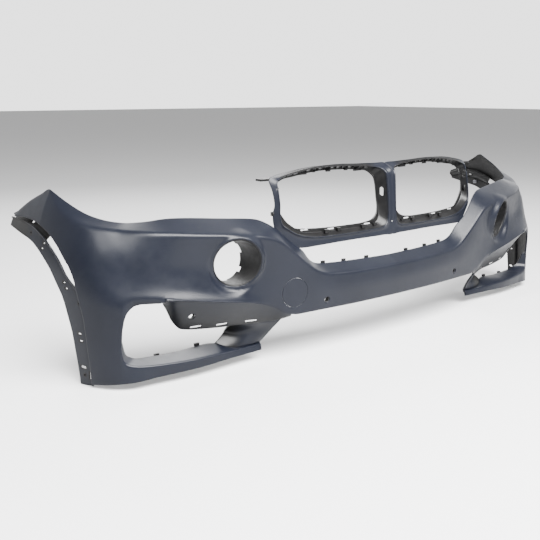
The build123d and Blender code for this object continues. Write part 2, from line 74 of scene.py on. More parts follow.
# ---------------------------------------------------------------- feature lines
PLAN = [
    (0, -12), (150, -9), (278, 0), (420, 12), (557, 29), (680, 50), (770, 73),
    (835, 105), (882, 155), (910, 220), (928, 300), (940, 400), (948, 500), (952, 600),
]
SILL = [
    (0, -25, 0), (370, -25, 0), (412, -18, 0), (450, 4, 1), (499, 23, 3), (615, 45, 7), (722, 63, 10),
    (818, 70, 12), (866, 62, 12),
]
VENT_TOP = [
    (757, 66), (775, 60), (812, 60), (828, 57), (841, 50), (851, 38), (857, 21), (863, -4), (866, VENT_LOW),
]
HOLLOW = [
    (0, 20, 4), (300, 30, 3), (421, 85, 0), (499, 112, -4), (560, 125, -9), (660, 140, -12),
    (760, 148, -20), (866, 150, -22),
]
CREASE = [
    (0, 66, 0), (150, 67, 0), (269, 73, 0), (304, 84, 0), (335, 102, 0), (372, 132, 1),
    (421, 172, 2), (447, 188, 2), (528, 205, 4), (661, 217, -6), (782, 227, -30), (866, 231, -52),
    (940, 237, -34), (985, 245, -24), (1060, 265, -24), (1140, 305, -34),
]
REAR = [
    (0, 86, -45), (150, 89, -45), (258, 93, -45), (290, 98, -44), (312, 112, -42), (335, 140, -38),
    (364, 158, -34), (403, 190, -38), (428, 212, -44), (480, 236, -56), (560, 243, -66),
    (716, 253, -76), (790, 247, -86), (866, 244, -94), (931, 249, -77), (997, 262, -60),
    (1065, 287, -46), (1140, 317, -38),
]
BOTTOM = [
    (458, -127, -58), (560, -127, -40), (660, -130, -22), (776, -132, -6), (848, -136, 14),
    (920, -145, 16), (985, -152, 16), (1010, -153, 16),
]
LIP_FRONT = [
    (458, -112, -62), (560, -110, -43), (660, -106, -22), (776, -101, -6), (820, -97, 3), (842, -93, 8),
    (854, -88, 10), (861, -80, 12), (864, -65, 12), (866, VENT_LOW, 12),
]
LIP_REAR = [
    (458, -110, -68), (525, -111, -64), (560, -105, -68), (590, -94, -82), (613, -92, -86),
    (713, -98, -78), (813, -98, -62), (842, -92, -44), (854, -85, -34), (861, -76, -20), (864, -62, -12),
    (866, VENT_LOW, -4),
]
RECESS = [
    (398, -28, -4), (424, -34, -12), (467, -41, -30), (560, -40, -45), (651, -35, -45),
    (704, -28, -45), (728, -6, -45), (745, 28, -40), (757, 48, -30),
]
CORNER_END = [
    (-157, 946), (-114, 948), (-70, 952), (-27, 956), (18, 961), (60, 972), (110, 986),
    (125, 993), (146, 1007),
]
WING_LOW = [(1007, 146), (1016, 154), (1054, 189), (1106, 219), (1170, 237), (1228, 241), (1290, 236)]
WING_HIGH = [(1140, 317), (1146, 317), (1178, 303), (1219, 284), (1262, 259), (1290, 240)]
ARCH = [
    (1317, 208), (1251, 196), (1191, 185), (1147, 166), (1111, 142), (1088, 123), (1067, 98),
    (1039, 59), (1019, 5), (1009, -27), (1001, -72), (993, -118), (989, -157),
]
FLANGE = [
    (1310, 229), (1250, 228), (1190, 222), (1130, 203), (1090, 181), (1050, 152), (1020, 118),
    (976, 76), (962, 18), (957, -27), (953, -70), (949, -114), (947, -154),
]
PILLAR_TOP = [(425, -36, -13), (450, -40, -24), (490, -41, -36), (530, -42, -50), (548, -44, -62)]
PILLAR_MID = [(440, -72, -42), (470, -76, -52), (505, -78, -66), (535, -76, -78), (560, -70, -88)]
PILLAR_LOW = [(458, -110, -68), (490, -111, -64), (525, -111, -64), (560, -105, -68), (590, -94, -82)]


# ---------------------------------------------------------------- curves
def smooth(knots):
    """A cubic through (x, y) knots that never overshoots them, as a function of an array of x."""
    xs = np.array([k[0] for k in knots], float)
    ys = np.array([k[1] for k in knots], float)
    steps = np.diff(xs)
    slopes = np.diff(ys) / steps
    tangents = np.empty(len(xs))
    tangents[0], tangents[-1] = slopes[0], slopes[-1]
    for i in range(1, len(xs) - 1):
        a, b = slopes[i - 1], slopes[i]
        tangents[i] = 2 * a * b / (a + b) if a * b > 0 else 0.0

    def value(x):
        x = np.asarray(x, float)
        i = np.clip(np.searchsorted(xs, x, side="right") - 1, 0, len(slopes) - 1)
        h = steps[i]
        t = (x - xs[i]) / h
        return (
            (1 + 2 * t) * (1 - t) ** 2 * ys[i] + t * (1 - t) ** 2 * h * tangents[i]
            + t * t * (3 - 2 * t) * ys[i + 1] + t * t * (t - 1) * h * tangents[i + 1]
        )

    return value


def softened(curve, start, end, reach):
    """The curve with its changes of slope spread over a distance to each side."""
    where = np.arange(start, end + 1.0)
    total, weight_sum = np.zeros(len(where)), 0.0
    for offset in np.linspace(-2.5 * reach, 2.5 * reach, 41):
        weight = np.exp(-0.5 * (offset / reach) ** 2)
        total += weight * curve(where + offset)
        weight_sum += weight
    table = total / weight_sum
    return lambda x: np.interp(x, where, table)


def line(knots, reach=0):
    """(height, relief) as functions of the distance along the skin, with bends spread over the reach."""
    height = smooth([(k[0], k[1]) for k in knots])
    relief = smooth([(k[0], k[2]) for k in knots])
    if reach:
        height = softened(height, -50, 1400, reach / 2)
        relief = softened(relief, -50, 1400, reach)
    return lambda u: (height(u), relief(u))


def run(x, y):
    """Distance along a line of points from its start."""
    return np.concatenate([[0], np.cumsum(np.hypot(np.diff(x), np.diff(y)))])


ARC = run(*np.array(PLAN, float).T)
half_x = smooth([(s, p[0]) for s, p in zip(ARC, PLAN)])
half_y = smooth([(s, p[1]) for s, p in zip(ARC, PLAN)])
plan_x = softened(lambda u: np.sign(u) * half_x(np.abs(u)), -60, 1500, 30)
plan_y = softened(lambda u: half_y(np.abs(u)), -60, 1500, 30)
sill, hollow, crease, rear = line(SILL, 8), line(HOLLOW, 30), line(CREASE, 20), line(REAR, 16)
bottom, lip_front, lip_rear, recess = line(BOTTOM), line(LIP_FRONT), line(LIP_REAR), line(RECESS)
vent_top, corner_end = smooth(VENT_TOP), smooth(CORNER_END)
wing_low, wing_high = smooth(WING_LOW), smooth(WING_HIGH)


def placed(x, y, z):
    """Points in the row's frame, in metres, from places measured level with the parking sensors."""
    return (np.stack(np.broadcast_arrays(x, y, z), axis=-1) - CENTRE_HOLE) * MM


def skin(u, z, relief):
    """Points of the skin in metres, as an array of rows (x, y, z)."""
    u, z, relief = np.broadcast_arrays(np.asarray(u, float), z, relief)
    side = np.where(u < 0, -1.0, 1.0)
    a = np.abs(u)
    dx = plan_x(a + 2) - plan_x(a - 2)
    dy = plan_y(a + 2) - plan_y(a - 2)
    n = np.hypot(dx, dy)
    x = np.where(a < 1e-6, 0.0, side * (plan_x(a) + relief * dy / n))
    y = plan_y(a) - relief * dx / n
    return placed(x, y, z)


def ease(x):
    x = np.clip(x, 0, 1)
    return x * x * (3 - 2 * x)


def soft_ramp(t):
    """About 0 below 0 and t above it, turning softly in between, and no more than 1.1."""
    return np.clip(0.5 * (t + np.sqrt(t * t + 0.012)), 0, 1.1)


TUCK_LOW = 60         # height at which the corner starts to draw in
FULL_RELIEF = 12      # the corner's relief below that


def tuck(u, z, top_z):
    """How far the corner's section has drawn in at height z, from 0 low down to 1 at the crease."""
    t = soft_ramp((z - TUCK_LOW) / (top_z - TUCK_LOW))
    ledge = 0.08 * (1 - ease((u - 850) / 130))
    t = t + ledge * np.sin(2 * pi * np.clip(t, 0, 1))
    return np.maximum(t, 0) ** (1 + 2 * ease((u - 800) / 260))


def wing_relief(u, z):
    """Relief of the corner and wing, full low down and tucked in towards the crease."""
    u, z = np.broadcast_arrays(np.asarray(u, float), np.asarray(z, float))
    top_z, top_relief = crease(np.minimum(u, WING_START))
    return FULL_RELIEF + (top_relief - FULL_RELIEF) * tuck(u, z, top_z)


# ---------------------------------------------------------------- sheets of faces
class Sheet:
    """A sheet of faces. Each point keeps its place on the skin (u, z) and how much paint it carries, which on
    the recessed panel also holds painted shade.
    """

    def __init__(self):
        self.points = np.zeros((0, 3))
        self.spots = np.zeros((0, 3))
        self.faces = []

    def put(self, points, spots):
        """Adds points and returns the number of the first."""
        base = len(self.points)
        self.points = np.vstack([self.points, points])
        self.spots = np.vstack([self.spots, spots])
        return base

    def grid(self, points, u, z, paint_and_shade=1.0):
        """Adds a grid of quads; rows run outward and columns run upward."""
        n, m = points.shape[:2]
        u, z, paint_and_shade = (np.broadcast_to(a, (n, m)) for a in (u, z, paint_and_shade))
        base = self.put(points.reshape(-1, 3), np.stack([u, z, paint_and_shade], -1).reshape(-1, 3))
        for i in range(n - 1):
            for j in range(m - 1):
                a = base + i * m + j
                self.faces.append((a, a + m, a + m + 1, a + 1))

    def stack(self, rings):
        """Adds a closed solid whose sides run through rings of equally many points."""
        count = len(rings[0])
        points = [point for ring in rings for point in ring]
        base = self.put(points, np.zeros((len(points), 3)))
        last = base + len(points) - count
        for start in range(base, last, count):
            for k in range(count):
                a, b = start + k, start + (k + 1) % count
                self.faces.append((a, b, b + count, a + count))
        self.faces.append(tuple(last + k for k in range(count)))
        self.faces.append(tuple(base + k for k in reversed(range(count))))

    def flip(self):
        self.faces = [tuple(reversed(f)) for f in self.faces]

    def mirrored(self):
        other = Sheet()
        other.points, other.spots = self.points * (-1, 1, 1), self.spots * (-1, 1, 1)
        other.faces = self.faces
        other.flip()
        return other

    def add(self, other):
        base = self.put(other.points, other.spots)
        self.faces += [tuple(i + base for i in f) for f in other.faces]

    def doubled(self):
        """A sheet of this one and its mirror image."""
        both = Sheet()
        both.add(self)
        both.add(self.mirrored())
        return both

    def weld(self, tolerance=2e-5):
        """Joins points that coincide and drops faces that this closes up."""
        keys = np.round(self.points / tolerance).astype(np.int64)
        _, first, inverse = np.unique(keys, axis=0, return_index=True, return_inverse=True)
        inverse = inverse.reshape(-1)
        faces = []
        for face in self.faces:
            ring = []
            for i in face:
                j = int(inverse[i])
                if j not in ring:
                    ring.append(j)
            if len(ring) > 2:
                faces.append(tuple(ring))
        self.points, self.spots, self.faces = self.points[first], self.spots[first], faces

    def cut(self, field):
        """Keeps the side where field(points, spots) is positive, with a clean edge along its zero."""
        value = np.asarray(field(self.points, self.spots), float)
        value[np.abs(value) < 1e-7] = 1e-7
        made, points, spots, faces = {}, [], [], []
        count = len(self.points)

        def crossing(i, j):
            key = (min(i, j), max(i, j))
            if key not in made:
                i, j = key
                t = value[i] / (value[i] - value[j])
                made[key] = count + len(points)
                points.append(self.points[i] + t * (self.points[j] - self.points[i]))
                spots.append(self.spots[i] + t * (self.spots[j] - self.spots[i]))
            return made[key]

        for face in self.faces:
            kept = [value[i] > 0 for i in face]
            if all(kept):
                faces.append(face)
                continue
            if not any(kept):
                continue
            ring = []
            for i, j in zip(face, face[1:] + face[:1]):
                if value[i] > 0:
                    ring.append(i)
                if (value[i] > 0) != (value[j] > 0):
                    ring.append(crossing(i, j))
            if len(ring) > 2:
                faces.append(tuple(ring))
        if points:
            self.put(points, spots)
        self.faces = faces
        self.prune()
        self.weld(1e-5)

    def prune(self):
        used = sorted({i for f in self.faces for i in f})
        place = {i: k for k, i in enumerate(used)}
        self.points, self.spots = self.points[used], self.spots[used]
        self.faces = [tuple(place[i] for i in f) for f in self.faces]

    def rim(self):
        """Directed edges that only one face uses."""
        edges = {}
        for face in self.faces:
            for i, j in zip(face, face[1:] + face[:1]):
                edges[(i, j)] = True
        return [e for e in edges if (e[1], e[0]) not in edges]

    def normals(self):
        total = np.zeros_like(self.points)
        for face in self.faces:
            a, b, c = (self.points[face[k]] for k in (0, len(face) // 3 or 1, -1))
            n = np.cross(b - a, c - a)
            for i in face:
                total[i] += n
        size = np.linalg.norm(total, axis=1)
        return total / np.maximum(size, 1e-12)[:, None]

    def hem(self, radius=1.5, depth=1.0):
        """Rolls the free edges back, with a rounded edge and then a straight wall.

        Radius and depth are in millimetres, as numbers or as functions of (points, spots).
        """
        edges = self.rim()
        normals = self.normals()
        size = [f(self.points, self.spots) if callable(f) else f for f in (radius, depth)]
        r, d = (np.broadcast_to(v, len(self.points)) * MM for v in size)
        outward_of = {}
        for i, j in edges:
            out = np.cross(self.points[j] - self.points[i], normals[i])
            length = np.linalg.norm(out)
            if length > 1e-12:
                for k in (i, j):
                    outward_of[k] = outward_of.get(k, 0) + out / length
        keys = list(outward_of)
        out = np.array([outward_of[k] for k in keys])
        out /= np.maximum(np.linalg.norm(out, axis=1), 1e-9)[:, None]
        points, spots = self.points[keys], self.spots[keys]
        r, d, back = r[keys][:, None], d[keys][:, None], normals[keys]
        last = {k: k for k in keys}
        for angle in (35, 65, 90, None):
            if angle is None:
                moved = points + out * r - back * (r + d)
            else:
                moved = points + out * r * sin(radians(angle)) - back * r * (1 - cos(radians(angle)))
            base = self.put(moved, spots)
            ring = {k: base + n for n, k in enumerate(keys)}
            for i, j in edges:
                if i in last and j in last:
                    self.faces.append((last[j], last[i], ring[i], ring[j]))
            last = ring


def piece(name, sheet, materials, body="bumper", slot="primed_plastic", nodes=(), wall=WALL):
    """A Blender object of a sheet given its wall thickness, riding on a body and standing for CAD nodes.

    The first material is on the sheet itself, the second inside it and on its cut edges.
    """
    mesh = bpy.data.meshes.new(name)
    mesh.from_pydata([tuple(p) for p in sheet.points], [], sheet.faces)
    attribute = mesh.attributes.new("paint_and_shade", "FLOAT", "POINT")
    attribute.data.foreach_set("value", sheet.spots[:, 2].astype(np.float32))
    mesh.validate()
    mesh.polygons.foreach_set("use_smooth", [True] * len(mesh.polygons))
    obj = bpy.data.objects.new(name, mesh)
    bpy.context.scene.collection.objects.link(obj)
    for material in materials:
        mesh.materials.append(material)
    if wall:
        solid = obj.modifiers.new("wall", "SOLIDIFY")
        solid.thickness = wall * MM
        solid.offset = -1
        solid.use_even_offset = False
        solid.material_offset = 1
        solid.material_offset_rim = 1
    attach(obj, body)
    if nodes:
        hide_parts(*nodes)
    return obj


# ---------------------------------------------------------------- sections of the skin
def columns(start, end):
    """Distances along the skin at which it is sampled, closer together near the vent's outer corner."""
    marks = np.concatenate([
        np.arange(0, 400, 5), np.arange(PANEL_START, 830, 4), [LIP_START, PANEL_END, SILL_PEAK],
        np.arange(830, 856, 2), np.arange(856, 866.1, 0.5),
    ])
    marks = np.unique(np.round(marks, 3))
    return marks[(marks >= start - 1e-6) & (marks <= end + 1e-6)]


def rounded(z, relief, at, low, high, soft):
    """Points of a section at distances below and above the crease, with the crease softened."""
    s = run(z, relief)
    s -= s[at]
    where = np.concatenate([s[0] * low, s[-1] * high])
    total = np.zeros((2, len(where)))
    offsets = np.linspace(-1.6, 1.6, 13) * soft
    weights = np.exp(-0.5 * (offsets / soft) ** 2)
    for offset, weight in zip(offsets, weights):
        for k, values in enumerate((z, relief)):
            v = np.interp(where + offset, s, values)
            under = where + offset < s[0]
            over = where + offset > s[-1]
            first = (values[1] - values[0]) / (s[1] - s[0])
            last = (values[-1] - values[-2]) / (s[-1] - s[-2])
            v[under] = values[0] + (where[under] + offset - s[0]) * first
            v[over] = values[-1] + (where[over] + offset - s[-1]) * last
            total[k] += weight * v
    return total / weights.sum()


LEDGE = 24            # height of the flare along the body's lower edge
LOW = 1 - np.linspace(0, 1, 44) ** 0.75       # shares of the way from the lower edge up to the crease
HIGH = np.linspace(0, 1, 22)[1:] ** 1.3


def body_section(u):
    """(z, relief) rows of the body at u, from its lower edge over the crease to its rear edge."""
    knots = [tuple(map(float, f(u))) for f in (sill, hollow, crease)]
    low = min(knots[0][0], float(vent_top(u))) if u > PANEL_END else knots[0][0]
    z = np.linspace(low, knots[-1][0], 90)
    corner = knots[0][1] + (knots[-1][1] - knots[0][1]) * tuck(u, z, knots[-1][0])
    blend = float(ease((u - 690) / 170))
    # the skin flares out along its lower edge above the vent
    rise = LEDGE / (knots[1][0] - knots[0][0])
    flare = knots[0][1] + (knots[1][1] - knots[0][1]) * rise - 6 * float(ease((u - 450) / 150))
    knots.insert(1, (knots[0][0] + LEDGE, flare))
    relief = smooth(knots)(np.maximum(z, knots[0][0])) * (1 - blend) + corner * blend
    # the vent's upper edge is turned under
    under = np.clip(knots[0][0] - z, 0, 14)
    relief = relief - 0.75 * under * float(ease((u - PANEL_END) / 20) * (1 - ease((u - 830) / 30)))
    up = np.linspace(0, 1, 30)[1:]
    rear_z, rear_relief = map(float, rear(u))
    z = np.concatenate([z, knots[-1][0] + (rear_z - knots[-1][0]) * up])
    relief = np.concatenate([relief, knots[-1][1] + (rear_relief - knots[-1][1]) * up])
    soft = 4.5 + 2.5 * float(ease((u - 420) / 120))
    return rounded(z, relief, 89, LOW, HIGH, soft)


LIP_LOW = 1 - np.linspace(0, 1, 10)
LIP_HIGH = np.linspace(0, 1, 14)[1:]


def lip_section(u):
    """(z, relief) rows of the lower lip at u, from its bottom edge over its front edge to its rear edge."""
    rows = np.array([[float(v) for v in f(u)] for f in (bottom, lip_front, lip_rear)])
    z, relief = np.concatenate([np.linspace(rows[0], rows[1], 20), np.linspace(rows[1], rows[2], 30)[1:]]).T
    return rounded(z, relief, 19, LIP_LOW, LIP_HIGH, 2.2)


def half_skin():
    """The right half of the painted skin before its holes are cut."""
    sheet = Sheet()
    us = columns(0, CORNER_START)
    rows = np.array([body_section(u) for u in us])
    sheet.grid(skin(us[:, None], rows[:, 0], rows[:, 1]), us[:, None], rows[:, 0])
    edge = rows[-1]
    # the recessed panel under the sill, darker towards the bottom of the recess: partly the primer thinning,
    # partly painted shade
    us = columns(PANEL_START, PANEL_END)
    top_z, top_relief = sill(us)
    low_z, low_relief = recess(us)
    t = np.linspace(0, 1, 22) ** 1.2
    z = top_z[:, None] + (low_z - top_z)[:, None] * t
    relief = top_relief[:, None] + (low_relief - top_relief)[:, None] * t
    panel = Sheet()
    # painted shade: the panel's paint falls from 0.8 at the sill to 0.3 deep in the recess
    panel.grid(skin(us[:, None], z, relief), us[:, None], z, 0.8 - 0.5 * t)
    panel.flip()
    sheet.add(panel)
    # the lower lip and its shelf
    us = columns(LIP_START, CORNER_START)
    rows = np.array([lip_section(u) for u in us])
    paint_and_shade = np.concatenate([np.ones(11), 1 - 0.5 * np.linspace(0, 1, 12) ** 2])
    sheet.grid(skin(us[:, None], rows[:, 0], rows[:, 1]), us[:, None], rows[:, 0], paint_and_shade[: rows.shape[2]])
    low_edge = rows[-1][:, : len(LIP_LOW)]
    # the corner and the wing
    base = np.concatenate([low_edge[:, :-1], edge], axis=1)
    sheet.add(corner_sheet(base))
    # the pillar at the inner end of the vent
    rows = [np.array(r, float) for r in (PILLAR_TOP, PILLAR_MID, PILLAR_LOW)]
    spots = np.linspace(0, 1, 5)
    fine = np.linspace(0, 1, 40)
    lines = []
    for row in rows:
        lines.append(np.stack([smooth(list(zip(spots, row[:, k])))(fine) for k in range(3)], -1))
    levels = np.linspace(0, 1, 26)
    grid = np.zeros((40, 26, 3))
    for i in range(40):
        for k in range(3):
            grid[i, :, k] = smooth([(0, lines[0][i, k]), (0.5, lines[1][i, k]), (1, lines[2][i, k])])(levels)
    pillar = Sheet()
    paint_and_shade = 0.75 - 0.55 * ease((grid[..., 0] - 500) / 60)
    pillar.grid(skin(grid[..., 0], grid[..., 1], grid[..., 2]), grid[..., 0], grid[..., 1], paint_and_shade)
    pillar.flip()
    sheet.add(pillar)
    sheet.weld()
    return sheet


BOTTOM_END = BOTTOM[-1][0]


def corner_lines(u):
    """(bottom, crease, rear) rows at u, carried on past the wing's tip along its upper edge."""
    if u <= WING_START:
        low_place = bottom(min(u, BOTTOM_END))
        return [tuple(map(float, place)) for place in (low_place, crease(u), rear(u))]
    top = float(wing_high(u))
    z0, r0 = map(float, crease(WING_START))
    z1, r1 = map(float, rear(WING_START))
    fade = float(1 - ease((u - WING_START) / 40))
    low = top - 3 - (z1 - z0 - 3) * fade
    relief = float(wing_relief(u, low))
    return [tuple(map(float, bottom(BOTTOM_END))), (low, relief), (top, relief - 2 - (r0 - r1 - 2) * fade)]


def corner_section(u, low, high):
    (z0, _), (z1, _), (z2, r2) = corner_lines(u)
    z = np.linspace(z0, z1, 120)
    relief = wing_relief(u, z)
    up = np.linspace(0, 1, 30)[1:]
    z = np.concatenate([z, z1 + (z2 - z1) * up])
    relief = np.concatenate([relief, relief[-1] + (r2 - relief[-1]) * up])
    return rounded(z, relief, 119, low, high, 7 - 4 * float(ease((u - 1000) / 140)))


def corner_sheet(base):
    """The corner and wing, which start from the given rows of (z, relief) at the corner's start."""
    count = len(base[0]) - len(HIGH)
    z, relief = base
    s = run(z, relief)
    low = 1 - s[:count] / s[count - 1]
    us = np.concatenate([np.arange(CORNER_START, 1000, 4), np.arange(1000, 1291, 4), [1292]])
    first = corner_section(CORNER_START, low, HIGH)
    rows = []
    for u in us:
        section = corner_section(u, low, HIGH)
        rows.append(section + (base - first) * (1 - ease((u - CORNER_START) / 110)))
    rows = np.array(rows)
    sheet = Sheet()
    sheet.grid(skin(us[:, None], rows[:, 0], rows[:, 1]), us[:, None], rows[:, 0])
    lower = [(float(corner_end(z)), z) for z in np.linspace(-157, 146, 60)]
    edge = lower + [(u, float(wing_low(u))) for u in np.linspace(1010, 1290, 60)]
    edge += [(1290, 400), (500, 400), (500, -400), (946, -400)]
    sheet.cut(lambda p, s: inside(edge, s[:, 0], s[:, 1]))
    return sheet


def inside(polygon, u, z):
    """Distance to a polygon's edge, positive inside."""
    ring = np.array(polygon, float)
    best = np.full(len(u), 1e9)
    odd = np.zeros(len(u), bool)
    for (au, az), (bu, bz) in zip(ring, np.roll(ring, -1, axis=0)):
        du, dz = bu - au, bz - az
        length = du * du + dz * dz
        if length == 0:
            continue
        t = np.clip(((u - au) * du + (z - az) * dz) / length, 0, 1)
        best = np.minimum(best, np.hypot(u - au - t * du, z - az - t * dz))
        if az != bz:
            cross = ((az > z) != (bz > z)) & (u < au + (z - az) * du / dz)
            odd ^= cross
    return np.where(odd, best, -best)


# ---------------------------------------------------------------- fog-lamp rims
def plane_at(centre, yaw, pitch=0):
    """(centre, right, up, normal) of a plane that looks forward, turned outward and down, in metres."""
    a, b = radians(yaw), radians(pitch)
    normal = np.array([sin(a) * cos(b), -cos(a) * cos(b), -sin(b)])
    right = np.array([cos(a), sin(a), 0])
    return np.asarray(centre), right, np.cross(normal, right), normal


def in_plane(points, plane):
    centre, right, up, normal = plane
    q = points - centre
    return q @ right, q @ up, q @ normal


fog_plane = plane_at(skin(FOG_U, FOG_Z, -6), FOG_YAW, FOG_PITCH)
FOG_CUT = FOG_R + 2.5


def shape_fog_rim(sheet):
    """Pulls the skin round the fog lamp onto the lamp's own plane, with a raised bead."""
    a, b, n = in_plane(sheet.points, fog_plane)
    radius = np.hypot(a, b) / MM
    near = (radius < 120) & (sheet.spots[:, 0] > 0) & (np.abs(n) < 0.08)
    weight = np.where(near, 1 - ease((radius - 67) / 15), 0)
    bead = 4.0 * np.exp(-((radius - 67.5) / 3.2) ** 2)
    target = (bead + 1.0) * MM
    move = (target - n) * weight + np.where(near, bead * MM, 0) * (1 - weight)
    sheet.points = sheet.points + move[:, None] * fog_plane[3]


def outward(u):
    """Bearing in degrees of the skin's outward normal, from straight ahead towards +X."""
    a, b = skin(u + 3, 0, 0), skin(u - 3, 0, 0)
    return np.degrees(atan2(a[1] - b[1], a[0] - b[0]))


def ring_cut(plane, radius, sign=0):
    """A field that is negative inside a round hole, on one side of the car if sign is -1 or 1."""
    def field(p, s):
        a, b, n = in_plane(p, plane)
        far = np.abs(n) > 0.06
        wrong = (sign != 0) & (np.sign(p[:, 0]) != sign)
        return np.where(far | wrong, 1.0, np.hypot(a, b) - radius * MM)
    return field


def slot_cut(u, z, wide, high):
    """A field that is negative inside a slot, in the skin's own coordinates."""
    return lambda p, s: np.maximum(np.abs(s[:, 0] - u) - wide / 2, np.abs(s[:, 1] - z) - high / 2)


def round_cut(u, z, radius):
    return lambda p, s: np.hypot(s[:, 0] - u, s[:, 1] - z) - radius


sensor_plane = plane_at(skin(INNER_SENSOR_X, 0, 0), 0)
outer_plane = plane_at(skin(*OUTER_SENSOR), outward(OUTER_SENSOR[0]))
tow_plane = plane_at(skin(TOW_X, TOW_Z, 1), -outward(-TOW_X))


# ---------------------------------------------------------------- materials
def mixed(node_tree, factor, a, b):
    """A colour mix node; a and b are colours or sockets."""
    mix = node_tree.nodes.new("ShaderNodeMix")
    mix.data_type = "RGBA"
    node_tree.links.new(factor, mix.inputs["Factor"])
    for value, name in ((a, "A"), (b, "B")):
        socket = [i for i in mix.inputs if i.name == name and i.type == "RGBA"][0]
        if isinstance(value, bpy.types.NodeSocket):
            node_tree.links.new(value, socket)
        else:
            socket.default_value = (*value, 1)
    return [o for o in mix.outputs if o.type == "RGBA"][0]


def noise(tree, scale, detail=4.0, roughness=0.55):
    """A noise in object space; scale is in cycles per metre."""
    place = tree.nodes.new("ShaderNodeTexCoord")
    node = tree.nodes.new("ShaderNodeTexNoise")
    node.inputs["Scale"].default_value = scale
    node.inputs["Detail"].default_value = detail
    node.inputs["Roughness"].default_value = roughness
    tree.links.new(place.outputs["Object"], node.inputs["Vector"])
    return node.outputs["Fac"]


def ramp(tree, value, low, high, to_low=0.0, to_high=1.0):
    """Maps a value from one range to another, clamped."""
    node = tree.nodes.new("ShaderNodeMapRange")
    tree.links.new(value, node.inputs["Value"])
    for name, number in zip(("From Min", "From Max", "To Min", "To Max"), (low, high, to_low, to_high)):
        node.inputs[name].default_value = number
    return node.outputs["Result"]


def bumped(tree, shader, layers):
    """Adds bumps; each layer is (height socket, strength, distance in metres)."""
    normal = None
    for height, strength, distance in layers:
        bump = tree.nodes.new("ShaderNodeBump")
        bump.inputs["Strength"].default_value = strength
        bump.inputs["Distance"].default_value = distance
        tree.links.new(height, bump.inputs["Height"])
        if normal is not None:
            tree.links.new(normal, bump.inputs["Normal"])
        normal = bump.outputs["Normal"]
    tree.links.new(normal, shader.inputs["Normal"])


def new_material(name):
    material = bpy.data.materials.new(name)
    material.use_nodes = True
    return material, material.node_tree, material.node_tree.nodes["Principled BSDF"]


def set_look(tree, shader, shade, grain, roughness, **inputs):
    """Links a colour and a roughness that wanders between two values, and sets other inputs."""
    tree.links.new(shade, shader.inputs["Base Color"])
    tree.links.new(ramp(tree, noise(tree, grain), 0.3, 0.7, *roughness), shader.inputs["Roughness"])
    for name, value in inputs.items():
        shader.inputs[name.replace("_", " ")].default_value = value


PRIMER, PRIMER_LIGHT = (0.0028, 0.0034, 0.0058), (0.0038, 0.0045, 0.0073)
RAW, RAW_LIGHT = (0.0018, 0.0018, 0.0019), (0.0040, 0.0039, 0.0040)


def primer_material():
    """Satin blue-grey primer that thins out to raw black plastic where the spray did not reach, and where
    painted shade darkens the recessed panel.
    """
    material, tree, shader = new_material("primer")
    painted = mixed(tree, ramp(tree, noise(tree, 7), 0.35, 0.65), PRIMER, PRIMER_LIGHT)
    raw = mixed(tree, ramp(tree, noise(tree, 60), 0.35, 0.65), RAW, RAW_LIGHT)
    paint_and_shade = tree.nodes.new("ShaderNodeAttribute")
    paint_and_shade.attribute_name = "paint_and_shade"
    speckle = tree.nodes.new("ShaderNodeMath")
    speckle.operation = "ADD"
    tree.links.new(paint_and_shade.outputs["Fac"], speckle.inputs[0])
    tree.links.new(ramp(tree, noise(tree, 180), 0.3, 0.7, -0.12, 0.12), speckle.inputs[1])
    cover = ramp(tree, speckle.outputs[0], 0.25, 0.75)
    shade = mixed(tree, cover, raw, painted)
    set_look(
        tree, shader, shade, 45, (0.31, 0.39), Specular_IOR_Level=0.14, Coat_Weight=0.02, Coat_Roughness=0.22)
    bumped(tree, shader, [(noise(tree, 2200, 2), 0.06, 0.0003), (noise(tree, 240), 0.05, 0.0004)])
    return material


def plastic_material(name, dark, light, rough, grain):
    """Raw moulded plastic with a fine spark-eroded grain and faint flow marks."""
    material, tree, shader = new_material(name)
    shade = mixed(tree, ramp(tree, noise(tree, 35), 0.35, 0.65), dark, light)
    set_look(tree, shader, shade, 90, (rough - 0.06, rough + 0.08), Specular_IOR_Level=0.16)
    bumped(tree, shader, [(noise(tree, grain, 3), 0.25, 0.0004), (noise(tree, 120), 0.1, 0.0006)])
    return material


def steel_material():
    """Phosphated spring steel."""
    material, tree, shader = new_material("spring_steel")
    shade = mixed(tree, ramp(tree, noise(tree, 300), 0.4, 0.6), (0.10, 0.10, 0.11), (0.20, 0.20, 0.21))
    set_look(tree, shader, shade, 500, (0.3, 0.5), Metallic=0.9)
    bumped(tree, shader, [(noise(tree, 1500, 2), 0.15, 0.0002)])
    return material


primer = primer_material()
raw = plastic_material("raw_plastic", RAW, RAW_LIGHT, 0.5, 1600)
dark = plastic_material("grained_plastic", (0.0013, 0.0013, 0.0014), (0.003, 0.0029, 0.0031), 0.42, 1100)
steel = steel_material()

# ---------------------------------------------------------------- the painted skin
EDGE_R = 1.3          # rounding of the skin's free edges
HOLE_CLEAR = 0.8      # sensor holes are wider than the sensors by this much all round
TOW_SEAM = 1.6
PANEL_SLOTS = [(665, -26), (590, -30), (506, -32)]
SLOT_WIDE, SLOT_HIGH = 34, 7.2


def hem_depth(points, spots):
    """Deep edges round the vent and along the bottom, shallow ones elsewhere."""
    across, z = np.abs(spots[:, 0]), spots[:, 1]
    panel_edge = (across > 475) & (across < 700) & (np.abs(z + 31) < 12)
    tow_edge = np.hypot(spots[:, 0] - TOW_X, z - TOW_Z) < TOW_R + 8
    return np.where((z < 80) & ~panel_edge & ~tow_edge, 5.0, 0.6)


